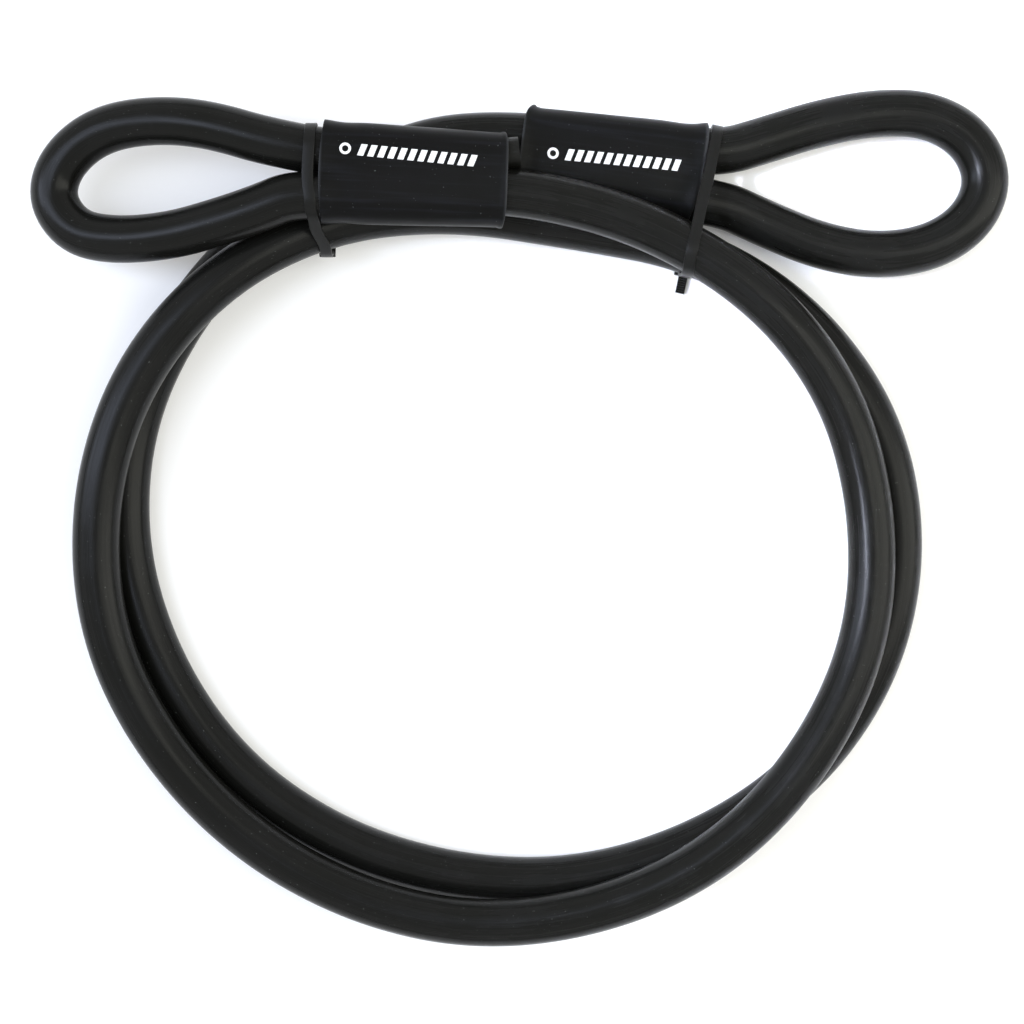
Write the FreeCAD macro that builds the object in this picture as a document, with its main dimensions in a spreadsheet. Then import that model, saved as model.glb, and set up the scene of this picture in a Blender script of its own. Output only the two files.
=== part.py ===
import FreeCAD, Part
import math
import os
import Sketcher
from FreeCAD import Placement, Rotation, Vector

# Looped-end security cable, 1.8 m long, coiled twice and held by two cable ties.
# Millimetres. +X to the right, +Y towards the two sleeves, +Z up from the surface that it lies on.

doc = FreeCAD.newDocument("looped_security_cable")

# ---------------------------------------------------------------- driving dimensions

SIZES = {
    "cable_diameter": 15.0,        # over the vinyl jacket
    "rope_diameter": 10.0,         # the steel wire rope inside
    "sleeve_length": 58.5,
    "sleeve_thickness": 17.4,
    "sleeve_wall": 0.8,
    "mouth_width": 32.6,           # the sleeve's end towards the eye
    "left_far_width": 29.4,        # its other end, where one cable leaves
    "right_far_width": 26.6,
    "left_mouth_skew": 0.0,        # degrees, how far the mouth is cut off square
    "right_mouth_skew": -4.4,
    "jacket_inset": 2.6,           # from the sleeve's mouth to the eye's jacket
    "ferrule_inset": 14.0,         # from the sleeve's mouth
    "ferrule_length": 30.0,
    "ferrule_width": 25.0,
    "ferrule_thickness": 14.6,
    "ferrule_chamfer": 1.0,
    "jacket_gap": 3.0,             # from the ferrule to the coil's jacket
    "strap_width": 3.6,            # cable ties
    "strap_thickness": 1.1,
    "strap_gap": 0.2,
    "head_width": 5.2,
    "head_length": 4.6,
    "head_thickness": 2.6,
    "tail_width": 2.9,
    "tail_thickness": 1.0,
    "left_tail_length": 2.5,
    "right_tail_length": 6.0,
}

sheet = doc.addObject("Spreadsheet::Sheet", "sizes")
for row, (alias, value) in enumerate(SIZES.items(), start=1):
    sheet.set("A%d" % row, alias)
    sheet.set("B%d" % row, str(value))
    sheet.setAlias("B%d" % row, alias)
doc.recompute()


def size(alias):
    return float(sheet.get(alias))


# ---------------------------------------------------------------- places

# A sleeve's own X runs from its mouth, where the eye's two legs go in, to its far end.
# Its own Y is across the two legs.
LEFT_SLEEVE = Placement(Vector(-63.3, 107.4, 32.4), Rotation(-2.0, 5.0, 0.0))
RIGHT_SLEEVE = Placement(Vector(56.9, 109.5, 9.6), Rotation(172.4, -4.5, 0.0))

# A tie's own X runs along the cables that it holds, and its strap lies in its own YZ plane.
LEFT_TIE = Placement(Vector(-65.8, 105.0, 0.0), Rotation())
RIGHT_TIE = Placement(Vector(59.3, 109.0, 0.0), Rotation(-12.1, 0.0, 0.0))

# ---------------------------------------------------------------- the rope's route

# Centre of the cable, from the rope's dead end, which shows past the left sleeve, to the one
# hidden in the right sleeve.
LEFT_EYE = [
    (-0.8, 114, 27.9),
    (-17.3, 112.3, 28.4),
    (-47.2, 112.3, 31),
    (-60, 113.4, 32.1),
    (-77, 116.2, 32.5),
    (-99, 123, 30),
    (-118, 124.5, 26),
    (-134.5, 121.5, 21.5),
    (-146, 112, 18.5),
    (-149, 100.5, 18),
    (-141.5, 90, 19.5),
    (-128, 87, 23),
    (-110, 88, 27),
    (-94, 92.1, 30.3),
    (-81.5, 96.1, 32),
    (-71, 99.6, 32.4),
    (-60, 99.3, 32),
    (-47.5, 101.7, 31),
]
COIL = [
    (1, 102.3, 27),
    (40, 92.3, 25),
    (75.5, 71, 25.4),
    (101, 40, 20.5),
    (111.6, 1, 19),
    (109.5, -39, 20.5),
    (92, -76, 23),
    (64, -106, 23),
    (28, -124, 20.5),
    (-13, -130, 18.5),
    (-52, -122, 16.5),
    (-88, -102, 16.5),
    (-116, -72, 17.5),
    (-133, -36, 19.5),
    (-135, 5, 22),
    (-123, 44, 23),
    (-97, 75, 24),
    (-62, 94, 18.2),
    (-23, 99.3, 8),
    (17, 93.3, 7.5),
    (56, 85.9, 10.8),
    (91.2, 64.5, 7.5),
    (115.3, 31, 7.5),
    (122.9, -9, 7.5),
    (115, -48.5, 7.5),
    (91.8, -82.5, 7.5),
    (58, -105, 7.5),
    (19, -117, 7.5),
    (-21, -116, 7.5),
    (-60, -104, 7.5),
    (-93, -81, 7.5),
    (-116, -48, 7.5),
    (-128, -9, 7.5),
    (-125, 32, 7.5),
    (-107, 68, 7.5),
    (-79, 97, 8.5),
    (-47, 115, 9.5),
    (-15, 123, 14.5),
]
RIGHT_EYE = [
    (15.5, 119.8, 13.1),
    (43, 116.7, 10.9),
    (54, 116.8, 9.9),
    (65, 116.8, 9.0),
    (76, 120.2, 7.8),
    (96, 126.5, 7.5),
    (114.5, 129.8, 7.5),
    (131, 129.2, 7.5),
    (144.5, 121.3, 7.5),
    (150, 108.3, 7.5),
    (145, 95.3, 7.5),
    (132.5, 86.6, 7.5),
    (115, 83.6, 7.5),
    (96, 86.6, 7.5),
    (76, 95, 7.7),
    (65, 100.1, 9.0),
    (54, 101.6, 9.9),
    (43, 105.8, 10.9),
    (12.3, 109.7, 13.2),
]

# ---------------------------------------------------------------- the route as lines and arcs

ARC_SHARE = 0.45                   # of the shorter run, how far an arc reaches from its corner
TINY = 1e-6


def tangent_arc(before, corner, after):
    """The arc that rounds one corner of the route, and its radius."""
    back = before - corner
    onward = after - corner
    half_turn = (math.pi - back.getAngle(onward)) / 2
    reach = ARC_SHARE * min(back.Length, onward.Length)
    radius = reach / math.tan(half_turn)
    start = corner + back.normalize() * reach
    end = corner + onward.normalize() * reach
    inward = ((start + end) / 2 - corner).normalize()
    middle = corner + inward * (radius / math.cos(half_turn) - radius)
    return Part.Arc(start, middle, end), radius


def round_route(points):
    """The route's straight runs and arcs, as edges, with the arcs' radii."""
    edges = []
    radii = []
    here = points[0]
    for before, corner, after in zip(points, points[1:], points[2:]):
        arc, radius = tangent_arc(before, corner, after)
        edges.append(Part.LineSegment(here, arc.StartPoint).toShape())
        edges.append(arc.toShape())
        radii.append(radius)
        here = arc.EndPoint
    edges.append(Part.LineSegment(here, points[-1]).toShape())
    return edges, radii


def crossings(place, along):
    """Where the route crosses a gate across place's X axis: how far along it, and the point."""
    gate = Part.makePlane(GATE_WIDTH, GATE_HEIGHT, Vector(-GATE_WIDTH / 2, -GATE_HEIGHT / 2, 0))
    turned = Rotation(Vector(0, 1, 0), Vector(0, 0, 1), Vector(1, 0, 0))
    gate.Placement = place * Placement(Vector(along, 0, 0), turned)
    found = []
    passed = 0.0
    for edge in ROUTE:
        distance, pairs, _ = edge.distToShape(gate)
        if distance < TINY:
            point = pairs[0][0]
            reached = edge.Curve.parameter(point)
            found.append((passed + edge.Curve.length(edge.FirstParameter, reached), point))
        passed += edge.Length
    return found


def stretch(begin, end):
    """The route between two distances along it, as a wire."""
    pieces = []
    passed = 0.0
    for edge in ROUTE:
        first = max(begin - passed, 0.0)
        last = min(end - passed, edge.Length)
        if first == 0.0 and last == edge.Length:
            pieces.append(edge)
        elif last - first > TINY:
            limits = [edge.getParameterByLength(first), edge.getParameterByLength(last)]
            pieces.append(edge.Curve.toShape(*limits))
        passed += edge.Length
    return Part.Wire(pieces)


GATE_WIDTH = 36.0
GATE_HEIGHT = 15.0
ROUTE, RADII = round_route([Vector(*point) for point in LEFT_EYE + COIL + RIGHT_EYE])
ROUTE_LENGTH = sum(edge.Length for edge in ROUTE)
ferrule_end = size("ferrule_inset") + size("ferrule_length")

# ---------------------------------------------------------------- rope and jackets


def add_tube(label, begin, end, diameter):
    """A round bar along a stretch of the route."""
    path = doc.addObject("Part::Feature", label + "_path")
    path.Shape = stretch(begin, end)
    section = doc.addObject("Part::Circle", label + "_section")
    section.setExpression("Radius", "sizes.%s / 2" % diameter)
    first = path.Shape.OrderedEdges[0]
    heading = first.tangentAt(first.FirstParameter)
    start = first.valueAt(first.FirstParameter)
    section.Placement = Placement(start, Rotation(Vector(0, 0, 1), heading))
    tube = doc.addObject("Part::Sweep", label)
    tube.Sections = [section]
    tube.Spine = (path, [])
    tube.Solid = True
    tube.Frenet = False
    return tube


def add_jacket(label, begin, end):
    """The vinyl over one stretch of the rope."""
    outside = add_tube(label + "_outside", begin, end, "cable_diameter")
    jacket = doc.addObject("Part::Cut", label)
    jacket.Base = outside
    jacket.Tool = rope
    return jacket


rope = add_tube("wire_rope", 0.0, ROUTE_LENGTH, "rope_diameter")
left_legs = [far for far, _ in crossings(LEFT_SLEEVE, size("jacket_inset"))]
right_legs = [far for far, _ in crossings(RIGHT_SLEEVE, size("jacket_inset"))]
coil_begin = crossings(LEFT_SLEEVE, ferrule_end + size("jacket_gap"))[-1][0]
coil_end = crossings(RIGHT_SLEEVE, ferrule_end + size("jacket_gap"))[0][0]
STRETCHES = {
    "jacket_left_eye": (left_legs[0], left_legs[-1]),
    "jacket_coil": (coil_begin, coil_end),
    "jacket_right_eye": (right_legs[0], right_legs[-1]),
}
jackets = [add_jacket(label, *limits) for label, limits in STRETCHES.items()]

# ---------------------------------------------------------------- ovals across a body's X axis


def origin_plane(body, role):
    return next(item for item in body.Origin.OriginFeatures if item.Role == role)


def add_oval(body, name, width, height, along, skew="0"):
    """A slot-shaped sketch across the body's X axis. Its sizes are formulas on the sheet."""
    sketch = body.newObject("Sketcher::SketchObject", name)
    sketch.AttachmentSupport = (origin_plane(body, "YZ_Plane"), [""])
    sketch.MapMode = "FlatFace"
    sketch.AttachmentOffset = Placement(Vector(), Rotation(Vector(0, 1, 0), 1.0))
    sketch.setExpression("AttachmentOffset.Base.z", along)
    sketch.setExpression("AttachmentOffset.Rotation.Angle", skew)
    reach = 5.0
    radius = 7.0
    ends = [Vector(reach, 0, 0), Vector(-reach, 0, 0)]
    quarter = math.pi / 2
    up = Vector(0, 0, 1)
    top, right, bottom, left = sketch.addGeometry([
        Part.LineSegment(Vector(-reach, radius, 0), Vector(reach, radius, 0)),
        Part.ArcOfCircle(Part.Circle(ends[0], up, radius), -quarter, quarter),
        Part.LineSegment(Vector(reach, -radius, 0), Vector(-reach, -radius, 0)),
        Part.ArcOfCircle(Part.Circle(ends[1], up, radius), quarter, 3 * quarter),
    ])
    sketch.addConstraint([
        Sketcher.Constraint("Tangent", top, 2, right, 2),
        Sketcher.Constraint("Tangent", right, 1, bottom, 1),
        Sketcher.Constraint("Tangent", bottom, 2, left, 2),
        Sketcher.Constraint("Tangent", left, 1, top, 1),
        Sketcher.Constraint("Horizontal", top),
        Sketcher.Constraint("Equal", left, right),
        Sketcher.Constraint("Symmetric", right, 3, left, 3, -1, 1),
    ])
    radius_row = sketch.addConstraint(Sketcher.Constraint("Radius", right, radius))
    sketch.setExpression("Constraints[%d]" % radius_row, "(%s) / 2" % height)
    reach_row = sketch.addConstraint(Sketcher.Constraint("DistanceX", left, 3, right, 3, 2 * reach))
    sketch.setExpression("Constraints[%d]" % reach_row, "(%s) - (%s)" % (width, height))
    return sketch


# ---------------------------------------------------------------- sleeves and ferrules


def add_sleeve(side, place):
    """A thin oval sleeve, tapered from its mouth to its far end."""
    body = doc.addObject("PartDesign::Body", "sleeve_" + side)
    widths = ["sizes.mouth_width", "sizes.%s_far_width" % side]
    distances = ["0", "sizes.sleeve_length"]
    skews = ["sizes.%s_mouth_skew" % side, "0"]
    for kind, inset in (("Additive", "0"), ("Subtractive", "sizes.sleeve_wall")):
        ovals = [
            add_oval(
                body, "%s_%s_%d" % (side, kind.lower(), index),
                "%s - 2 * %s" % (widths[index], inset),
                "sizes.sleeve_thickness - 2 * %s" % inset,
                distances[index], skews[index])
            for index in range(2)
        ]
        loft = body.newObject("PartDesign::%sLoft" % kind, "%s_%s_loft" % (side, kind.lower()))
        loft.Profile = ovals[0]
        loft.Sections = [ovals[1]]
        loft.Ruled = True
    body.Placement = place
    return body


def add_ferrule(side, place):
    """A pressed oval block on the rope's two legs, with its ends chamfered."""
    body = doc.addObject("PartDesign::Body", "ferrule_%s_block" % side)
    oval = add_oval(
        body, side + "_ferrule_oval", "sizes.ferrule_width", "sizes.ferrule_thickness",
        "sizes.ferrule_inset")
    pad = body.newObject("PartDesign::Pad", side + "_ferrule_pad")
    pad.Profile = oval
    pad.setExpression("Length", "sizes.ferrule_length")
    doc.recompute()
    ends = [
        "Edge%d" % (index + 1) for index, edge in enumerate(pad.Shape.Edges)
        if edge.BoundBox.XLength < TINY
    ]
    chamfer = body.newObject("PartDesign::Chamfer", side + "_ferrule_chamfer")
    chamfer.Base = (pad, ends)
    chamfer.setExpression("Size", "sizes.ferrule_chamfer")
    body.Placement = place
    ferrule = doc.addObject("Part::Cut", "ferrule_" + side)
    ferrule.Base = body
    ferrule.Tool = rope
    return ferrule


sleeves = []
ferrules = []
for side, place in (("left", LEFT_SLEEVE), ("right", RIGHT_SLEEVE)):
    sleeves.append(add_sleeve(side, place))
    ferrules.append(add_ferrule(side, place))

# ---------------------------------------------------------------- cable ties

# Each tie goes round the outermost cables' centres, given as (Y, Z) in the tie's own plane.
# Its head and tail are boxes at a (Y, Z) with a roll about X, in degrees.
TIES = {
    "left": {
        "place": LEFT_TIE,
        "centres": [(9.2, 32.3), (-5.6, 32.2), (-14.5, 18.5), (-0.7, 8.9)],
        "head": (-19.4, 10.1, 150.0),
        "tail": (-21.0, 12.0, 135.0),
    },
    "right": {
        "place": RIGHT_TIE,
        "centres": [(8.3, 9.4), (-25.9, 25.2), (-24.9, 10.0)],
        "head": (-29.8, 1.5, 180.0),
        "tail": (-34.6, 1.2, 180.0),
    },
}
STRAP_INSIDE = "sizes.cable_diameter / 2 + sizes.strap_gap"
STRAP_OUTSIDE = STRAP_INSIDE + " + sizes.strap_thickness"


def add_loop_bar(name, core, distance):
    """A solid bar of the strap's width whose outline stands off the polygon by a distance."""
    outline = doc.addObject("Part::Offset2D", name + "_outline")
    outline.Source = core
    outline.Join = "Arc"
    outline.setExpression("Value", distance)
    bar = doc.addObject("Part::Extrusion", name)
    bar.Base = outline
    bar.DirMode = "Custom"
    bar.Dir = Vector(1, 0, 0)
    bar.Solid = True
    bar.Symmetric = True
    bar.setExpression("LengthFwd", "sizes.strap_width")
    return bar


def add_block(name, spot, sides):
    """A box centred on a (Y, Z) and rolled about X. Its three sides are formulas."""
    block = doc.addObject("Part::Box", name)
    for side_name, formula in zip(("Length", "Width", "Height"), sides):
        block.setExpression(side_name, formula)
    doc.recompute()
    half = Vector(block.Length.Value, block.Width.Value, block.Height.Value) / 2
    across, up, roll = spot
    middle = Placement(Vector(0, across, up), Rotation(Vector(1, 0, 0), roll))
    block.Placement = middle * Placement(-half, Rotation())
    return block


def add_tie(side, tie):
    """A cable tie: its strap round the cables, its head and its cut tail, in one piece."""
    core = doc.addObject("Part::Polygon", "tie_%s_core" % side)
    core.Nodes = [Vector(0, across, up) for across, up in tie["centres"]]
    core.Close = True
    strap = doc.addObject("Part::Cut", "tie_%s_strap" % side)
    strap.Base = add_loop_bar("tie_%s_outside" % side, core, STRAP_OUTSIDE)
    strap.Tool = add_loop_bar("tie_%s_inside" % side, core, STRAP_INSIDE)
    head_sides = ["sizes.head_width", "sizes.head_length", "sizes.head_thickness"]
    tail_sides = ["sizes.tail_width", "sizes.%s_tail_length" % side, "sizes.tail_thickness"]
    whole = doc.addObject("Part::MultiFuse", "tie_" + side)
    whole.Shapes = [
        strap,
        add_block("tie_%s_head" % side, tie["head"], head_sides),
        add_block("tie_%s_tail" % side, tie["tail"], tail_sides),
    ]
    whole.Placement = tie["place"]
    return whole


ties = [add_tie(side, tie) for side, tie in TIES.items()]

# ---------------------------------------------------------------- checks and export

doc.recompute()
for item in doc.Objects:
    if "Invalid" in item.State or "Error" in item.State:
        raise RuntimeError("%s failed: %s" % (item.Label, item.State))

SUB_PARTS = [rope] + jackets + ferrules + sleeves + ties
for part in SUB_PARTS:
    if part.Shape.isNull() or not part.Shape.isValid():
        raise RuntimeError("%s has no valid shape" % part.Label)

print("route: %.0f mm long, radii in mm:" % ROUTE_LENGTH)
print(" ".join("%.0f" % radius for radius in RADII))
rope_area = math.pi * (size("rope_diameter") / 2) ** 2
jacket_area = math.pi * (size("cable_diameter") / 2) ** 2 - rope_area
print("wire_rope: volume %.0f, section x length %.0f" % (rope.Shape.Volume, rope_area * ROUTE_LENGTH))
for jacket in jackets:
    begin, end = STRETCHES[jacket.Label]
    expected = jacket_area * (end - begin)
    print("%s: volume %.0f, section x length %.0f" % (jacket.Label, jacket.Shape.Volume, expected))

os.makedirs("parts", exist_ok=True)
for part in SUB_PARTS:
    part.Shape.exportStep("parts/%s.step" % part.Label)
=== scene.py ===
import math

import bmesh
import bpy
from mathutils import Matrix, Vector, noise


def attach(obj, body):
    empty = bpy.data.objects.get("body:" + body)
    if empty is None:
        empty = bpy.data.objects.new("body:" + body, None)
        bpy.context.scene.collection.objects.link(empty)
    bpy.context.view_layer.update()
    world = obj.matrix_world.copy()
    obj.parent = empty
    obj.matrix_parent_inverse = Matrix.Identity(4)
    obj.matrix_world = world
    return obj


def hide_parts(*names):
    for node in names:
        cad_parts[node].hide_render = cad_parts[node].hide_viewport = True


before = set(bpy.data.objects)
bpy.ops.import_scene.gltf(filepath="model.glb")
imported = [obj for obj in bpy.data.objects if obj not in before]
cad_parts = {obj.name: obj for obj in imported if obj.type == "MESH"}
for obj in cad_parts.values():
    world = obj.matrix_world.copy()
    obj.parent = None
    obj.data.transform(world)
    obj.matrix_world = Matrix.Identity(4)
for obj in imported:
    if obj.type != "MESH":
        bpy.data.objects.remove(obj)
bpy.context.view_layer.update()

MM = 0.001

# ---------------------------------------------------------------- camera

# The camera looks straight down on the coil from almost over its middle.
CAMERA_PLACE = Vector((-3.0, 1.6, 815.0)) * MM
CAMERA_LENS = 88.5          # mm
SENSOR_WIDTH = 36.0         # mm
CLIP_START = 0.01           # m
CLIP_END = 20.0             # m

camera_data = bpy.data.cameras.new("camera")
camera_data.lens = CAMERA_LENS
camera_data.sensor_width = SENSOR_WIDTH
camera_data.clip_start = CLIP_START
camera_data.clip_end = CLIP_END
camera = bpy.data.objects.new("camera", camera_data)
camera.location = CAMERA_PLACE
bpy.context.scene.collection.objects.link(camera)
bpy.context.scene.camera = camera

# ---------------------------------------------------------------- routes of the three jackets

CABLE_RADIUS = 7.5 * MM

# Control points in mm. They are the CAD route's, cut where each jacket ends inside a sleeve. The left eye's
# four nearest its sleeve are moved by about 1 mm.
LEFT_EYE = [
    (-60, 113.5, 31.2),
    (-77, 116.2, 31.8),
    (-99, 123, 30),
    (-118, 124.5, 26),
    (-134.5, 121.5, 21.5),
    (-146, 112, 18.5),
    (-149, 100.5, 18),
    (-141.5, 90, 19.5),
    (-128, 87, 23),
    (-110, 88, 27),
    (-94, 92.1, 30.3),
    (-81.5, 96.1, 32),
    (-71, 100.4, 33.2),
    (-60, 99.9, 32.8),
]
COIL = [
    (-16, 102.1, 28.3),
    (1, 102.3, 27),
    (40, 92.3, 25),
    (75.5, 71, 25.4),
    (101, 40, 20.5),
    (111.6, 1, 19),
    (109.5, -39, 20.5),
    (92, -76, 23),
    (64, -106, 23),
    (28, -124, 20.5),
    (-13, -130, 18.5),
    (-52, -122, 16.5),
    (-88, -102, 16.5),
    (-116, -72, 17.5),
    (-133, -36, 19.5),
    (-135, 5, 22),
    (-123, 44, 23),
    (-97, 75, 24),
    (-62, 94, 18.2),
    (-23, 99.3, 8),
    (17, 93.3, 7.5),
    (56, 85.9, 10.8),
    (91.2, 64.5, 7.5),
    (115.3, 31, 7.5),
    (122.9, -9, 7.5),
    (115, -48.5, 7.5),
    (91.8, -82.5, 7.5),
    (58, -105, 7.5),
    (19, -117, 7.5),
    (-21, -116, 7.5),
    (-60, -104, 7.5),
    (-93, -81, 7.5),
    (-116, -48, 7.5),
    (-128, -9, 7.5),
    (-125, 32, 7.5),
    (-107, 68, 7.5),
    (-79, 97, 8.5),
    (-47, 115, 9.5),
    (-15, 123, 14.5),
    (12, 120.2, 13.3),
]
RIGHT_EYE = [
    (54, 116.8, 9.9),
    (65, 116.8, 9.0),
    (76, 120.2, 7.8),
    (96, 126.5, 7.5),
    (114.5, 129.8, 7.5),
    (131, 129.2, 7.5),
    (144.5, 121.3, 7.5),
    (150, 108.3, 7.5),
    (145, 95.3, 7.5),
    (132.5, 86.6, 7.5),
    (115, 83.6, 7.5),
    (96, 86.6, 7.5),
    (76, 95, 7.7),
    (65, 100.1, 9.0),
    (54, 101.6, 9.9),
]

LINE_RESOLUTION = 26        # steps that the smooth line takes for each control point


def nurbs_line(name, points):
    """The points of a smooth line, read from a NURBS spline with these control points, in metres."""
    data = bpy.data.curves.new(name + "_line", "CURVE")
    data.dimensions = "3D"
    spline = data.splines.new("NURBS")
    spline.points.add(len(points) - 1)
    for target, point in zip(spline.points, points):
        target.co = (*(Vector(point) * MM), 1.0)
    spline.order_u = 3
    spline.use_endpoint_u = True
    spline.resolution_u = LINE_RESOLUTION
    holder = bpy.data.objects.new(name + "_line", data)
    mesh = bpy.data.meshes.new_from_object(holder)
    line = [vertex.co.copy() for vertex in mesh.vertices]
    bpy.data.objects.remove(holder)
    bpy.data.curves.remove(data)
    bpy.data.meshes.remove(mesh)
    return line


# ---------------------------------------------------------------- mesh helpers


def add_piece(name, vertices, faces, material, smooth=True):
    """A mesh object that rides on the body, with one material."""
    mesh = bpy.data.meshes.new(name)
    mesh.from_pydata(vertices, [], faces)
    mesh.validate()
    if smooth:
        mesh.polygons.foreach_set("use_smooth", [True] * len(mesh.polygons))
    mesh.materials.append(material)
    piece = bpy.data.objects.new(name, mesh)
    bpy.context.scene.collection.objects.link(piece)
    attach(piece, "root")
    return piece


def ring_faces(rings, around, closed=False):
    """Quads between rings of vertices. A row of rings that isn't closed gets a flat cap at each end."""
    faces = []
    last = rings if closed else rings - 1
    for row in range(last):
        here = row * around
        there = ((row + 1) % rings) * around
        for step in range(around):
            after = (step + 1) % around
            faces.append((here + step, here + after, there + after, there + step))
    if not closed:
        faces.append(tuple(reversed(range(around))))
        faces.append(tuple(range((rings - 1) * around, rings * around)))
    return faces


def prism_faces(count, base=0):
    """Two caps and the quads between them, for two outlines of count vertices each, from vertex base on."""
    faces = [tuple(range(base, base + count)), tuple(reversed(range(base + count, base + 2 * count)))]
    for step in range(count):
        after = (step + 1) % count
        faces.append((base + step, base + count + step, base + count + after, base + after))
    return faces


def add_vectors(piece, name, values):
    """Stores a vector for each vertex, which a material reads as an attribute."""
    layer = piece.data.attributes.new(name, "FLOAT_VECTOR", "POINT")
    layer.data.foreach_set("vector", [number for value in values for number in value])


def resampled(line, step):
    """Points an even distance apart along a line, its two ends included."""
    travelled = [0.0]
    for first, second in zip(line, line[1:]):
        travelled.append(travelled[-1] + (second - first).length)
    count = max(2, round(travelled[-1] / step))
    points = []
    index = 0
    for number in range(count + 1):
        wanted = travelled[-1] * number / count
        while index < len(line) - 2 and travelled[index + 1] < wanted:
            index += 1
        share = (wanted - travelled[index]) / (travelled[index + 1] - travelled[index])
        points.append(line[index].lerp(line[index + 1], share))
    return points, travelled[-1]


def smooth_step(value):
    """0 below 0, 1 above 1, and eased between them."""
    value = min(max(value, 0.0), 1.0)
    return value * value * (3 - 2 * value)


def bell(distance, reach):
    """1 at no distance, falling away smoothly on both sides."""
    return math.exp(-((distance / reach) ** 2))


def placement(x, y, z, yaw, pitch=0.0):
    """A CAD placement: a spot in mm, turned by yaw about Z and then pitch about its own Y."""
    turn = Matrix.Rotation(math.radians(yaw), 4, "Z") @ Matrix.Rotation(math.radians(pitch), 4, "Y")
    return Matrix.Translation(Vector((x, y, z)) * MM) @ turn


# ---------------------------------------------------------------- materials

# Colours are linear. A noise's scale is in cells per metre, and a bump's distance is in metres.
SLEEVE_LENGTH = 58.5 * MM
RIM_HIGHLIGHT_FROM = -1.1 * MM                          # where a sleeve's painted rim highlight begins, from its end
RIM_HIGHLIGHT_FULL = 0.3 * MM
ROPE_END = Vector((-0.8, 114.0, 27.9)) * MM      # the dead end that shows past the left sleeve
BLACK_END_LENGTH = 12.0 * MM                           # how far from it the rope is black
BLACK_END_FADE = 1.0 * MM


class Nodes:
    """A short way to build one material's node tree."""

    def __init__(self, name):
        self.material = bpy.data.materials.new(name)
        self.material.use_nodes = True
        self.tree = self.material.node_tree
        self.shader = self.tree.nodes["Principled BSDF"]

    def add(self, kind, inputs=None, **settings):
        """A new node with these settings and inputs."""
        node = self.tree.nodes.new(kind)
        for key, value in settings.items():
            setattr(node, key, value)
        for key, value in (inputs or {}).items():
            self.join(value, node.inputs[key])
        return node

    def join(self, value, socket):
        """Links a node's socket, or sets a plain value."""
        if isinstance(value, bpy.types.NodeSocket):
            self.tree.links.new(value, socket)
        else:
            socket.default_value = value

    def set(self, **values):
        """Sets the shader's own sockets, named with _ for each space."""
        for key, value in values.items():
            self.join(value, self.shader.inputs[key.replace("_", " ")])

    def object_space(self):
        """The place of a surface point, in the object's own frame."""
        return self.add("ShaderNodeTexCoord").outputs["Object"]

    def attribute(self, name):
        """A vector that is stored at each vertex."""
        return self.add("ShaderNodeAttribute", attribute_name=name).outputs["Vector"]

    def math(self, operation, first, second=0.0):
        """The result of one Math node."""
        return self.add("ShaderNodeMath", {0: first, 1: second}, operation=operation).outputs[0]

    def mixed(self, first, share, second):
        """This share of the first value, and the rest from the second."""
        kept = self.math("MULTIPLY", first, share)
        return self.math("ADD", kept, self.math("MULTIPLY", second, 1 - share))

    def noise(self, vector, scale, detail=2.0, roughness=0.5):
        """Noise of one scale in every direction."""
        inputs = {"Vector": vector, "Scale": scale, "Detail": detail, "Roughness": roughness}
        return self.add("ShaderNodeTexNoise", inputs).outputs["Fac"]

    def streaks(self, vector, scales, detail=2.0, roughness=0.5):
        """Noise with its own scale along each axis."""
        scaled = self.add("ShaderNodeVectorMath", {0: vector, 1: scales}, operation="MULTIPLY")
        return self.noise(scaled.outputs[0], 1.0, detail, roughness)

    def band(self, value, low, high, out_low=0.0, out_high=1.0):
        """A value mapped from one range to another, eased and clamped."""
        inputs = {"Value": value, 1: low, 2: high, 3: out_low, 4: out_high}
        return self.add("ShaderNodeMapRange", inputs, interpolation_type="SMOOTHSTEP").outputs[0]

    def colour(self, factor, first, second):
        """A blend of two colours, each either three numbers or another blend."""
        node = self.add("ShaderNodeMix", data_type="RGBA")
        self.join(factor, node.inputs[0])
        for value, socket in ((first, node.inputs[6]), (second, node.inputs[7])):
            self.join(value if isinstance(value, bpy.types.NodeSocket) else (*value, 1.0), socket)
        return node.outputs[2]

    def bump(self, height, distance, strength, normal=None):
        """A surface normal bent by a height, on top of another bump where one is given."""
        inputs = {"Height": height, "Distance": distance, "Strength": strength}
        if normal is not None:
            inputs["Normal"] = normal
        return self.add("ShaderNodeBump", inputs).outputs["Normal"]


def jacket_material():
    """Near-black extruded vinyl: lines along the cable, dust, and slightly uneven gloss."""
    nodes = Nodes("vinyl_jacket")
    along = nodes.attribute("cable_space")
    place = nodes.object_space()
    lines = nodes.streaks(along, (9.0, 900.0, 900.0), detail=3.0, roughness=0.6)
    swell = nodes.streaks(along, (40.0, 130.0, 130.0))
    grain = nodes.noise(place, 5200.0)
    cloud = nodes.noise(place, 55.0, detail=3.0)
    specks = nodes.band(nodes.noise(place, 1500.0, detail=1.0), 0.745, 0.80)
    base = nodes.colour(cloud, (0.0042, 0.0044, 0.0033), (0.0066, 0.0066, 0.0064))
    dusty = nodes.colour(nodes.math("MULTIPLY", specks, 0.45), base, (0.15, 0.16, 0.15))
    rough = nodes.band(nodes.mixed(lines, 0.6, cloud), 0.35, 0.65, out_low=0.20, out_high=0.34)
    nodes.set(Base_Color=dusty, Roughness=rough, IOR=1.5, Specular_IOR_Level=0.13)
    soft = nodes.bump(swell, 0.35 * MM, 0.5)
    fine = nodes.bump(lines, 0.06 * MM, 0.5, soft)
    nodes.set(Normal=nodes.bump(grain, 0.02 * MM, 0.6, fine))
    return nodes.material


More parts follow.
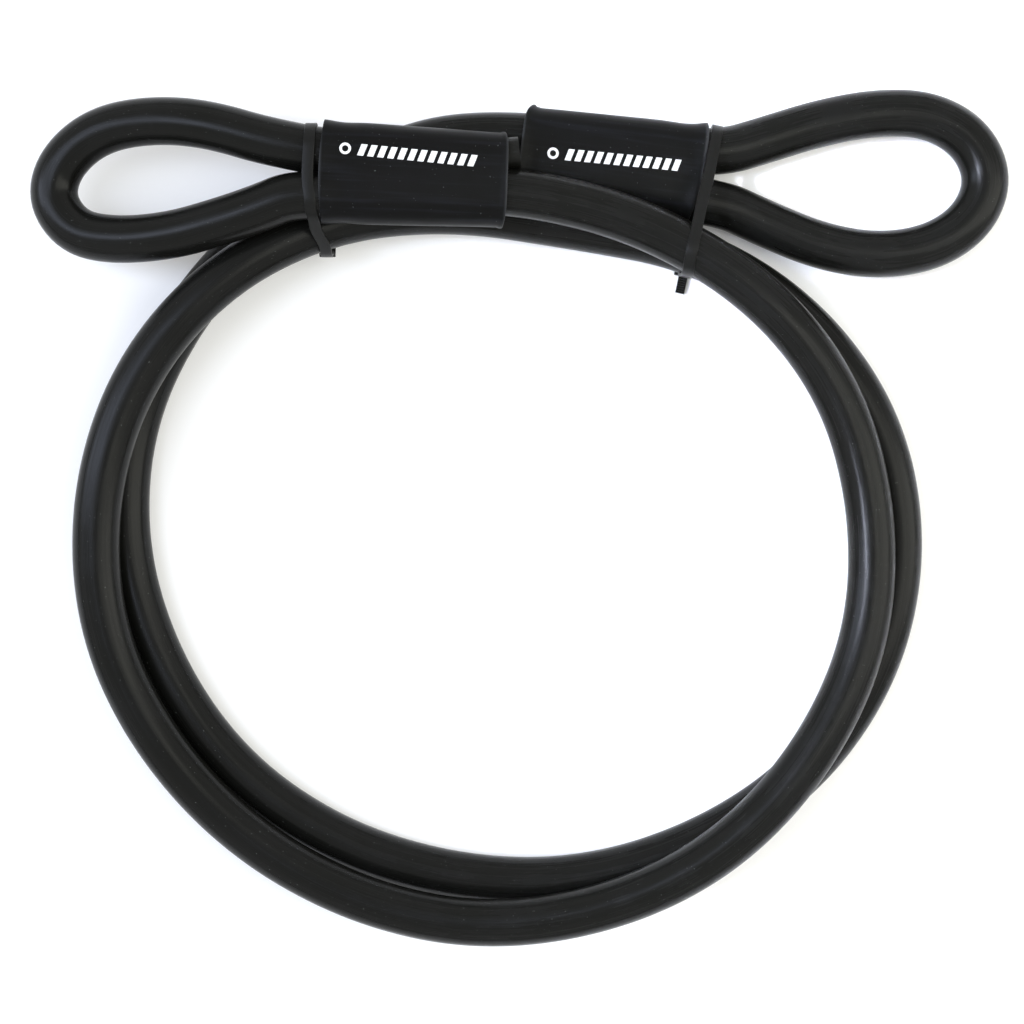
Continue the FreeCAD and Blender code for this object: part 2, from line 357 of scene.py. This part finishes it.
def sleeve_material():
    """Soft satin vinyl, with faint streaks along the sleeve, a painted bluish sheen in streaks, a painted
    highlight on the rims at both ends, and a little dust.
    """
    nodes = Nodes("vinyl_sleeve")
    along = nodes.attribute("sleeve_space")
    place = nodes.object_space()
    drag = nodes.streaks(along, (60.0, 700.0, 700.0), detail=3.0, roughness=0.6)
    cloud = nodes.noise(place, 70.0, detail=3.0)
    grain = nodes.noise(place, 4200.0)
    specks = nodes.band(nodes.noise(place, 1300.0, detail=1.0), 0.75, 0.80)
    base = nodes.colour(cloud, (0.0032, 0.0034, 0.0029), (0.0050, 0.0052, 0.0055))
    # Painted bluish sheen, in streaks along the sleeve.
    sheen_streaks = nodes.band(nodes.streaks(along, (22.0, 420.0, 420.0)), 0.50, 0.72)
    sheen_streaked = nodes.colour(nodes.math("MULTIPLY", sheen_streaks, 0.7), base, (0.0084, 0.0090, 0.0110))
    apart = nodes.add("ShaderNodeSeparateXYZ", {0: along})
    from_middle = nodes.math("ABSOLUTE", nodes.math("SUBTRACT", apart.outputs["X"], SLEEVE_LENGTH / 2))
    past_end = nodes.math("SUBTRACT", from_middle, SLEEVE_LENGTH / 2)
    # Painted highlight: the last mm at each end of the sleeve is pale and bluish, like a rim that catches
    # light.
    rim_highlight = nodes.band(past_end, RIM_HIGHLIGHT_FROM, RIM_HIGHLIGHT_FULL, out_high=0.8)
    rim_lit = nodes.colour(rim_highlight, sheen_streaked, (0.045, 0.047, 0.050))
    dusty = nodes.colour(nodes.math("MULTIPLY", specks, 0.35), rim_lit, (0.15, 0.16, 0.16))
    rough = nodes.band(nodes.mixed(drag, 0.4, cloud), 0.35, 0.65, out_low=0.36, out_high=0.48)
    nodes.set(Base_Color=dusty, Roughness=rough, IOR=1.5, Specular_IOR_Level=0.07)
    soft = nodes.bump(cloud, 0.4 * MM, 0.5)
    fine = nodes.bump(drag, 0.04 * MM, 0.5, soft)
    nodes.set(Normal=nodes.bump(grain, 0.01 * MM, 0.6, fine))
    return nodes.material


def nylon_material():
    """Moulded black nylon, satin with a slight orange peel."""
    nodes = Nodes("nylon_tie")
    place = nodes.object_space()
    peel = nodes.noise(place, 1600.0)
    cloud = nodes.noise(place, 150.0)
    base = nodes.colour(cloud, (0.0042, 0.0044, 0.0035), (0.0066, 0.0066, 0.0064))
    rough = nodes.band(peel, 0.3, 0.7, out_low=0.32, out_high=0.44)
    nodes.set(Base_Color=base, Roughness=rough, IOR=1.53, Specular_IOR_Level=0.15)
    nodes.set(Normal=nodes.bump(peel, 0.03 * MM, 0.4))
    return nodes.material


def print_material():
    """Pad-printed white ink, a little thin in places."""
    nodes = Nodes("print_ink")
    place = nodes.object_space()
    thin = nodes.band(nodes.noise(place, 900.0, detail=3.0), 0.3, 0.75)
    nodes.set(Base_Color=nodes.colour(thin, (0.86, 0.86, 0.87), (0.70, 0.70, 0.72)), Roughness=0.5)
    nodes.set(Normal=nodes.bump(nodes.noise(place, 3000.0), 0.01 * MM, 0.4))
    return nodes.material


def rope_material():
    """Galvanised steel with fine streaks for its wires, and black at the left dead end."""
    nodes = Nodes("steel_rope")
    place = nodes.object_space()
    wires = nodes.streaks(place, (900.0, 2600.0, 900.0))
    steel = nodes.colour(wires, (0.33, 0.34, 0.35), (0.60, 0.61, 0.62))
    away = nodes.add("ShaderNodeVectorMath", {0: place, 1: ROPE_END}, operation="DISTANCE")
    steel_share = nodes.band(away.outputs["Value"], BLACK_END_LENGTH, BLACK_END_LENGTH + BLACK_END_FADE)
    tone = nodes.colour(steel_share, (0.0060, 0.0062, 0.0050), steel)
    rough = nodes.band(wires, 0.3, 0.7, out_low=0.28, out_high=0.45)
    nodes.set(Base_Color=tone, Metallic=steel_share, Roughness=rough, Specular_IOR_Level=0.15)
    nodes.set(Normal=nodes.bump(wires, 0.2 * MM, 0.7))
    return nodes.material


def ferrule_material():
    """Pressed aluminium, matt, with die marks."""
    nodes = Nodes("ferrule_metal")
    place = nodes.object_space()
    marks = nodes.streaks(place, (300.0, 2400.0, 2400.0), detail=3.0)
    tone = nodes.colour(marks, (0.60, 0.61, 0.62), (0.78, 0.79, 0.80))
    rough = nodes.band(marks, 0.3, 0.7, out_low=0.34, out_high=0.52)
    nodes.set(Base_Color=tone, Metallic=1.0, Roughness=rough)
    nodes.set(Normal=nodes.bump(marks, 0.05 * MM, 0.6))
    return nodes.material


JACKET = jacket_material()
SLEEVE = sleeve_material()
NYLON = nylon_material()
INK = print_material()
ROPE = rope_material()
FERRULE = ferrule_material()

# The rope and the ferrules keep their CAD shapes.
for node_name, finish in (("wire_rope", ROPE), ("ferrule_left", FERRULE), ("ferrule_right", FERRULE)):
    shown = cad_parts[node_name]
    shown.data.materials.clear()
    shown.data.materials.append(finish)

# ---------------------------------------------------------------- jackets

AROUND = 40                  # points round a jacket
RING_STEP = 1.6 * MM         # from one ring of points to the next
JACKET_WAVE = 0.05 * MM      # how deep the extruded surface dips below its full size
WAVE_ALONG = 45.0            # how quickly that changes along the cable, per metre
WAVE_AROUND = 1.3            # and round it


def add_jacket(name, node, points):
    """The vinyl jacket along one stretch of the cable, as a tube on a smooth line."""
    line = nurbs_line(name, points)
    centres, length = resampled(line, RING_STEP)
    vertices = []
    space = []
    side = Vector((0, 0, 1))
    for index, centre in enumerate(centres):
        before = centres[max(index - 1, 0)]
        after = centres[min(index + 1, len(centres) - 1)]
        ahead = (after - before).normalized()
        side = (side - ahead * side.dot(ahead)).normalized()
        other = ahead.cross(side)
        along = length * index / (len(centres) - 1)
        for step in range(AROUND):
            angle = 2 * math.pi * step / AROUND
            out = side * math.cos(angle) + other * math.sin(angle)
            spot = (along * WAVE_ALONG, WAVE_AROUND * math.cos(angle), WAVE_AROUND * math.sin(angle))
            wave = noise.noise(Vector(spot))
            # The noise runs from -1 to 1, and the surface only dips.
            radius = CABLE_RADIUS + JACKET_WAVE * (wave - 1.0) * 0.5
            vertices.append(centre + out * radius)
            space.append((along, CABLE_RADIUS * math.cos(angle), CABLE_RADIUS * math.sin(angle)))
    piece = add_piece(name, vertices, ring_faces(len(centres), AROUND), JACKET)
    add_vectors(piece, "cable_space", space)
    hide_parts(node)


add_jacket("left_eye_jacket", "jacket_left_eye", LEFT_EYE)
add_jacket("coil_jacket", "jacket_coil", COIL)
add_jacket("right_eye_jacket", "jacket_right_eye", RIGHT_EYE)

# ---------------------------------------------------------------- sleeves

SLEEVE_WALL = 0.8 * MM
SLEEVE_HALF_THICKNESS = 8.45 * MM
SLEEVE_CROWN = 0.35 * MM     # how far its flat sides swell
MOUTH_HALF_WIDTH = 16.2 * MM
LIP = 0.25 * MM              # rounding of its two ends
LIP_CORNER = 0.3             # where the corner point of that rounding lies, as a share of it
BAND_WIDTH = 2.0 * MM        # the band that a shallow groove marks off at the far end
BAND_DEPTH = 0.16 * MM
BAND_REACH = 0.4 * MM
MOUTH_FLARE_REACH = 2.6 * MM
FAR_FLARE_REACH = 2.4 * MM
WAIST_PLACE = 7.5 * MM       # the sleeve draws in a little behind its mouth
WAIST_DEPTH = 0.35 * MM
WAIST_REACH = 5.0 * MM
SADDLE_DEPTH = 0.5 * MM      # near its mouth it dips between the two legs
SADDLE_WIDTH = 0.45          # as a share of the flat's half width
SADDLE_REACH = 9.0 * MM
END_REACH = 12.0 * MM        # how far along it the shape of an end is felt
RIPPLE = 0.006               # uneven thickness, as a share of it
RIPPLE_ALONG = 90.0          # how quickly that changes, per metre
RIPPLE_ACROSS = 160.0
FLAT_STEPS = 22              # across a flat side
ROUND_STEPS = 18             # round an end of the oval
OUTER_ROWS = 70              # along the outside
INNER_ROWS = 30              # along the inside

# Each sleeve's frame has its origin in the middle of the mouth, with X along the sleeve.
SLEEVES = {
    "left": {
        "place": placement(-63.3, 107.4, 32.4, -2.0, 5.0),
        "far_half_width": 14.7 * MM,
        "mouth_skew": 0.0,
        "mouth_flare": 0.15 * MM,
        "mouth_bow": 1.4 * MM,
        "far_flare": 0.35 * MM,
        "far_bow": 0.5 * MM,
    },
    "right": {
        "place": placement(56.9, 109.5, 9.6, 172.4, -4.5),
        "far_half_width": 13.5 * MM,
        "mouth_skew": math.tan(math.radians(4.4)),
        "mouth_flare": 0.6 * MM,
        "mouth_bow": 0.9 * MM,
        "far_flare": 1.0 * MM,
        "far_bow": 1.9 * MM,
    },
}


def half_width_at(shape, along):
    """Half the width of the sleeve's straight taper."""
    share = along / SLEEVE_LENGTH
    return MOUTH_HALF_WIDTH + (shape["far_half_width"] - MOUTH_HALF_WIDTH) * share


def sleeve_offset(shape, along):
    """How far the sleeve's surface stands off its straight taper."""
    mouth = shape["mouth_flare"] * bell(along, MOUTH_FLARE_REACH)
    far = shape["far_flare"] * bell(SLEEVE_LENGTH - along, FAR_FLARE_REACH)
    waist = -WAIST_DEPTH * bell(along - WAIST_PLACE, WAIST_REACH)
    band = -BAND_DEPTH * bell(SLEEVE_LENGTH - along - BAND_WIDTH, BAND_REACH)
    return mouth + far + waist + band


def sleeve_section():
    """The steps round an oval: (kind, side, value), a share of a flat or degrees round an end."""
    steps = [("flat", 1, -1 + 2 * step / FLAT_STEPS) for step in range(FLAT_STEPS)]
    steps += [("round", 1, 90 - 180 * step / ROUND_STEPS) for step in range(ROUND_STEPS)]
    steps += [("flat", -1, 1 - 2 * step / FLAT_STEPS) for step in range(FLAT_STEPS)]
    steps += [("round", -1, -90 - 180 * step / ROUND_STEPS) for step in range(ROUND_STEPS)]
    return steps


SECTION = sleeve_section()


def sleeve_point(shape, along, inward, step):
    """One point of a sleeve in its own frame: along it, this far inside its outer surface."""
    half_width = half_width_at(shape, along)
    offset = sleeve_offset(shape, along) - inward
    reach = half_width - SLEEVE_HALF_THICKNESS
    thickness = SLEEVE_HALF_THICKNESS + offset
    kind, side, value = step
    if kind == "flat":
        across = value * reach
        up = side * (thickness + SLEEVE_CROWN * (1 - value * value))
        up -= side * SADDLE_DEPTH * bell(value, SADDLE_WIDTH) * smooth_step(1 - along / SADDLE_REACH)
    else:
        angle = math.radians(value)
        across = side * reach + thickness * math.cos(angle)
        up = thickness * math.sin(angle)
    edge = (across / half_width) ** 2
    near_mouth = smooth_step(1 - along / END_REACH)
    near_far = smooth_step(1 - (SLEEVE_LENGTH - along) / END_REACH)
    shift = shape["mouth_bow"] * edge * near_mouth - shape["far_bow"] * edge ** 3 * near_far
    shift += shape["mouth_skew"] * across * near_mouth
    ripple = noise.noise(Vector((along * RIPPLE_ALONG, across * RIPPLE_ACROSS, up * RIPPLE_ACROSS)))
    return Vector((along + shift, across, up * (1 + RIPPLE * ripple)))


def wall_profile():
    """The wall's outline as (along, inward): outside, far lip, inside and mouth lip."""
    straight = SLEEVE_LENGTH - 2 * LIP
    corner = LIP_CORNER * LIP
    profile = [(LIP + straight * row / OUTER_ROWS, 0.0) for row in range(OUTER_ROWS + 1)]
    profile += [(SLEEVE_LENGTH - corner, corner), (SLEEVE_LENGTH, LIP)]
    profile += [(SLEEVE_LENGTH, SLEEVE_WALL - LIP), (SLEEVE_LENGTH - corner, SLEEVE_WALL - corner)]
    for row in range(INNER_ROWS + 1):
        profile.append((SLEEVE_LENGTH - LIP - straight * row / INNER_ROWS, SLEEVE_WALL))
    profile += [(corner, SLEEVE_WALL - corner), (0.0, SLEEVE_WALL - LIP)]
    profile += [(0.0, LIP), (corner, corner)]
    return profile


def add_sleeve(side, shape):
    """A soft sleeve as one closed wall, in place of its CAD solid."""
    profile = wall_profile()
    own = [sleeve_point(shape, along, inward, step) for along, inward in profile for step in SECTION]
    vertices = [shape["place"] @ point for point in own]
    faces = ring_faces(len(profile), len(SECTION), closed=True)
    piece = add_piece(side + "_sleeve", vertices, faces, SLEEVE)
    add_vectors(piece, "sleeve_space", [tuple(point) for point in own])
    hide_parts("sleeve_" + side)


for side, shape in SLEEVES.items():
    add_sleeve(side, shape)

# ---------------------------------------------------------------- print on the sleeves

INK_STANDS = 0.05 * MM       # above the sleeve
INK_SINKS = 0.12 * MM        # and into it

# The marks' sizes, in mm
BLOCKS = 12
BLOCK_HEIGHT = 3.6
BLOCK_WIDTH = 1.9
BLOCK_SLANT = 1.1
BLOCK_PITCH = 3.1
FIRST_BLOCK = 5.6            # from the row's start, where the ring begins
RING_OUTSIDE = 1.8           # radius
RING_INSIDE = 1.0            # radius
RING_BARS = 24


def slanted_block(left):
    """A parallelogram of the row, as (along, up) corners in mm."""
    half = BLOCK_HEIGHT / 2
    return [
        (left, -half),
        (left + BLOCK_WIDTH, -half),
        (left + BLOCK_WIDTH + BLOCK_SLANT, half),
        (left + BLOCK_SLANT, half),
    ]


def ring_outlines():
    """A plain ring, as the outlines of short bars round its centre."""
    outlines = []
    for step in range(RING_BARS):
        corners = []
        for turn, radius in ((step, RING_INSIDE), (step, RING_OUTSIDE),
                             (step + 1, RING_OUTSIDE), (step + 1, RING_INSIDE)):
            angle = 2 * math.pi * turn / RING_BARS
            corners.append((RING_OUTSIDE + radius * math.cos(angle), radius * math.sin(angle)))
        outlines.append(corners)
    return outlines


def surface_height(shape, along, across):
    """The sleeve's top surface above its own middle plane."""
    reach = half_width_at(shape, along) - SLEEVE_HALF_THICKNESS
    value = min(max(across / reach, -1.0), 1.0)
    return sleeve_point(shape, along, 0.0, ("flat", 1, value)).z


def add_print(side, shape, middle, tilt, sense):
    """White ink on a sleeve: a plain ring and a row of slanted blocks, with no letters.

    middle is the row's middle in the sleeve's frame, in mm. sense is -1 where the row runs against X.
    """
    outlines = ring_outlines()
    outlines += [slanted_block(FIRST_BLOCK + BLOCK_PITCH * number) for number in range(BLOCKS)]
    width = FIRST_BLOCK + BLOCK_PITCH * BLOCKS
    turn = Matrix.Rotation(math.radians(tilt), 2)
    vertices = []
    faces = []
    for outline in outlines:
        base = len(vertices)
        for lift in (INK_STANDS, -INK_SINKS):
            for along, up in outline:
                spot = turn @ Vector(((along - width / 2) * MM, up * MM)) * sense
                spot += Vector(middle) * MM
                height = surface_height(shape, spot.x, spot.y) + lift
                vertices.append(shape["place"] @ Vector((spot.x, spot.y, height)))
        faces += prism_faces(len(outline), base)
    piece = add_piece(side + "_sleeve_print", vertices, faces, INK, smooth=False)


add_print("left", SLEEVES["left"], middle=(27.6, 5.5), tilt=-2.9, sense=1)
add_print("right", SLEEVES["right"], middle=(28.5, 0.2), tilt=2.8, sense=-1)

# ---------------------------------------------------------------- cable ties

STRAP_HALF_WIDTH = 1.8 * MM
STRAP_HALF_THICKNESS = 0.55 * MM
STRAP_RADIUS = 7.75          # mm, from a cable's centre to the middle of the strap
STRAP_ROUND = 0.25 * MM      # rounding of its edges
CORNER_STEPS = 3             # in that rounding
ARC_STEP = math.radians(7)   # from one section of the strap to the next, round a cable
RUN_STEP = 2.5               # mm, the same on a straight run
HEAD_SIZE = Vector((5.2, 4.6, 2.6)) * MM
HEAD_ROUND = 0.35 * MM
WINDOW_MARGIN = 0.9 * MM     # the window where the strap comes through the head
WINDOW_SLOPE = 0.15 * MM
WINDOW_DEPTH = 0.7 * MM
SHARP_EDGE = 1.2             # radians between two faces, from which an edge is rounded
TAIL_WIDTH = 2.9 * MM
TAIL_THICKNESS = 1.0 * MM
TOOTH_PITCH = 0.8 * MM
TOOTH_DEPTH = 0.3 * MM
TOOTH_TIP = 0.1              # the steep side's share of a tooth

# Each tie's frame has X across the strap. Its centres are the cables that it binds, as (Y, Z). Its wander
# is how the strap leaves its plane, as (Y, X). Its head and tail are placed by (Y, Z, degrees about X).
TIES = {
    "left": {
        "place": placement(-65.8, 105.0, 0.0, 0.0),
        "centres": [(9.2, 32.3), (-5.6, 32.2), (-14.5, 18.5), (-0.7, 8.9)],
        "wander": [(-30, 4.6), (-21, 4.2), (-14, 1.5), (-9, 0.6), (0, -0.2), (16, 0.5), (30, 0.5)],
        "head": (-19.4, 10.1, 150.0),
        "tail": (-21.0, 12.0, 135.0),
        "tail_length": 2.5 * MM,
    },
    "right": {
        "place": placement(59.3, 109.0, 0.0, -12.1),
        "centres": [(8.3, 9.4), (-25.9, 25.2), (-24.9, 10.0)],
        "wander": [(-36, -0.2), (-28, -0.8), (-14, -0.6), (0, 0.0), (20, 0.0)],
        "head": (-29.8, 1.5, 180.0),
        "tail": (-34.6, 1.2, 180.0),
        "tail_length": 6.0 * MM,
    },
}


def wander_at(tie, across):
    """The strap's X at this Y, in mm, eased between the listed places."""
    spots = tie["wander"]
    if across <= spots[0][0]:
        return spots[0][1]
    for (low, first), (high, second) in zip(spots, spots[1:]):
        if across <= high:
            return first + (second - first) * smooth_step((across - low) / (high - low))
    return spots[-1][1]


def bearing(vector):
    """The angle of a flat vector."""
    return math.atan2(vector.y, vector.x)


def strap_path(tie):
    """The strap's middle line in its own plane, with its outward directions: arcs and straights."""
    centres = [Vector(centre) for centre in tie["centres"]]
    count = len(centres)
    normals = []
    for index in range(count):
        run = (centres[(index + 1) % count] - centres[index]).normalized()
        normals.append(Vector((run.y, -run.x)))
    middle = sum(centres, Vector((0, 0))) / count
    outward = 1 if normals[0].dot(centres[0] - middle) > 0 else -1
    points = []
    for index in range(count):
        first = bearing(normals[index - 1] * outward)
        last = bearing(normals[index] * outward)
        turn = (last - first + math.pi) % (2 * math.pi) - math.pi
        steps = max(2, round(abs(turn) / ARC_STEP))
        for step in range(steps + 1):
            angle = first + turn * step / steps
            out = Vector((math.cos(angle), math.sin(angle)))
            points.append((centres[index] + out * STRAP_RADIUS, out))
        start, out = points[-1]
        run = centres[(index + 1) % count] - centres[index]
        steps = max(1, round(run.length / RUN_STEP))
        for step in range(1, steps):
            points.append((start + run * step / steps, out))
    return points


def rounded_profile(half_width, half_thickness, rounding):
    """A flat bar's outline with rounded corners, as (across, up)."""
    corners = []
    for sx, sy, begin in ((1, 1, 0), (-1, 1, 90), (-1, -1, 180), (1, -1, 270)):
        for step in range(CORNER_STEPS + 1):
            angle = math.radians(begin + 90 * step / CORNER_STEPS)
            corners.append((
                sx * (half_width - rounding) + rounding * math.cos(angle),
                sy * (half_thickness - rounding) + rounding * math.sin(angle),
            ))
    return corners


def strap_mesh(tie):
    """The strap as a flat bar swept round the cables, as vertices in place and faces."""
    spots = strap_path(tie)
    line = [Vector((wander_at(tie, spot.x), spot.x, spot.y)) * MM for spot, _ in spots]
    outs = [Vector((0, out.x, out.y)) for _, out in spots]
    outline = rounded_profile(STRAP_HALF_WIDTH, STRAP_HALF_THICKNESS, STRAP_ROUND)
    vertices = []
    for index, (centre, out) in enumerate(zip(line, outs)):
        ahead = (line[(index + 1) % len(line)] - line[index - 1]).normalized()
        width = ahead.cross(out).normalized()
        up = width.cross(ahead).normalized()
        for across, rise in outline:
            vertices.append(tie["place"] @ (centre + width * across + up * rise))
    return vertices, ring_faces(len(line), len(outline), closed=True)


def head_mesh():
    """A box with rounded edges and a shallow window in its top, as vertices and faces."""
    box = bmesh.new()
    bmesh.ops.create_cube(box, size=1.0)
    bmesh.ops.scale(box, vec=HEAD_SIZE, verts=box.verts)
    top = max(box.faces, key=lambda face: face.calc_center_median().z)
    bmesh.ops.inset_individual(box, faces=[top], thickness=WINDOW_MARGIN)
    bmesh.ops.inset_individual(box, faces=[top], thickness=WINDOW_SLOPE, depth=-WINDOW_DEPTH)
    edges = [edge for edge in box.edges if edge.calc_face_angle(0.0) > SHARP_EDGE]
    bmesh.ops.bevel(box, geom=edges, offset=HEAD_ROUND, segments=3, affect="EDGES", profile=0.5)
    vertices = [vertex.co.copy() for vertex in box.verts]
    box.verts.index_update()
    faces = [tuple(vertex.index for vertex in face.verts) for face in box.faces]
    box.free()
    return vertices, faces


def tail_mesh(length):
    """A cut strap end, smooth on top with cross teeth below, as vertices and faces."""
    teeth = max(2, round(length / TOOTH_PITCH))
    half_width = TAIL_WIDTH / 2
    half = TAIL_THICKNESS / 2
    side_line = [(-length / 2, half), (length / 2, half), (length / 2, -half)]
    for tooth in range(teeth, 0, -1):
        here = -length / 2 + length * tooth / teeth
        before = -length / 2 + length * (tooth - 1) / teeth
        side_line.append((here - TOOTH_TIP * (here - before), -half + TOOTH_DEPTH))
        side_line.append((before, -half))
    vertices = [Vector((x, y, z)) for x in (-half_width, half_width) for y, z in side_line]
    return vertices, prism_faces(len(side_line))


def add_tie(side, tie):
    """Strap, head and tail of one cable tie, as three pieces that stand for its CAD solid."""
    vertices, faces = strap_mesh(tie)
    strap = add_piece(side + "_tie_strap", vertices, faces, NYLON)
    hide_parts("tie_" + side)
    for name, (points, polygons) in (("head", head_mesh()), ("tail", tail_mesh(tie["tail_length"]))):
        across, up, roll = tie[name]
        spot = Vector((wander_at(tie, across), across, up)) * MM
        turn = Matrix.Translation(spot) @ Matrix.Rotation(math.radians(roll), 4, "X")
        placed = [tie["place"] @ turn @ point for point in points]
        piece = add_piece("%s_tie_%s" % (side, name), placed, polygons, NYLON, smooth=False)


for side, tie in TIES.items():
    add_tie(side, tie)

# ---------------------------------------------------------------- floor and light

FLOOR_HALF = 3.0             # m, half the floor's side
FLOOR_GLOW = 0.08

# The tent's colour at each height, from -1 below the table to 1 overhead
TENT = [
    (-0.02, (0.12, 0.12, 0.12)),
    (0.09, (0.12, 0.12, 0.12)),
    (0.14, (1.0, 1.0, 1.0)),
    (0.45, (0.98, 0.98, 0.97)),
    (0.80, (0.78, 0.78, 0.77)),
    (1.0, (0.68, 0.68, 0.69)),
]
TENT_STRENGTH = 1.12


def add_floor():
    """A pale floor with a faint glow of its own, which keeps the shadows light."""
    mesh = bpy.data.meshes.new("floor")
    low, high = -FLOOR_HALF, FLOOR_HALF
    mesh.from_pydata([(low, low, 0), (high, low, 0), (high, high, 0), (low, high, 0)], [], [(0, 1, 2, 3)])
    nodes = Nodes("floor_paper")
    nodes.set(Base_Color=(0.93, 0.93, 0.93, 1.0), Roughness=0.9)
    nodes.set(Emission_Color=(1.0, 1.0, 1.0, 1.0), Emission_Strength=FLOOR_GLOW)
    mesh.materials.append(nodes.material)
    floor = bpy.data.objects.new("floor", mesh)
    bpy.context.scene.collection.objects.link(floor)


def add_softbox(name, spot, aim, size, power, tint, spread=180):
    """An oblong light. Its size is (along world Y, across that) in metres, its power is in watts."""
    light = bpy.data.lights.new(name, "AREA")
    light.shape = "RECTANGLE"
    light.color = tint
    light.size, light.size_y = size
    light.energy = power
    light.spread = math.radians(spread)
    holder = bpy.data.objects.new(name, light)
    holder.location = spot
    holder.rotation_euler = (Vector(aim) - Vector(spot)).to_track_quat("-Z", "Y").to_euler()
    holder.visible_camera = False
    bpy.context.scene.collection.objects.link(holder)


def add_world():
    """A white tent: dark below and where it meets the table, bright above that, and less so overhead."""
    world = bpy.data.worlds.new("studio")
    world.use_nodes = True
    tree = world.node_tree
    background = tree.nodes["Background"]
    direction = tree.nodes.new("ShaderNodeTexCoord").outputs["Generated"]
    height = tree.nodes.new("ShaderNodeSeparateXYZ")
    tree.links.new(direction, height.inputs[0])
    ramp = tree.nodes.new("ShaderNodeValToRGB")
    share = tree.nodes.new("ShaderNodeMapRange")
    share.inputs["From Min"].default_value = -1.0
    tree.links.new(height.outputs["Z"], share.inputs["Value"])
    tree.links.new(share.outputs["Result"], ramp.inputs["Fac"])
    ramp.color_ramp.interpolation = "EASE"
    stops = ramp.color_ramp.elements        # a new ramp has two
    for _ in range(len(TENT) - len(stops)):
        stops.new(0.5)
    for stop, (level, colour) in zip(stops, TENT):
        stop.position = (level + 1) / 2
        stop.color = (*colour, 1.0)
    tree.links.new(ramp.outputs["Color"], background.inputs["Color"])
    background.inputs["Strength"].default_value = TENT_STRENGTH
    bpy.context.scene.world = world


add_floor()
add_world()
add_softbox("left_softbox", spot=(-0.80, 0.15, 0.85), aim=(0, 0, 0), size=(0.34, 1.4), power=8.0,
            tint=(0.84, 0.94, 1.18))
add_softbox("right_softbox", spot=(0.80, 0.0, 0.75), aim=(0, 0, 0), size=(0.55, 1.5), power=7.5,
            tint=(1.0, 1.0, 0.90))
# A narrow beam that puts the bright line on the inner strand at the right
add_softbox("right_strip", spot=(-0.54, 0.0, 0.92), aim=(0.11, 0, 0.02), size=(0.7, 0.05), power=0.32,
            tint=(0.9, 0.95, 1.15), spread=16)
bpy.context.scene.view_settings.view_transform = "Standard"
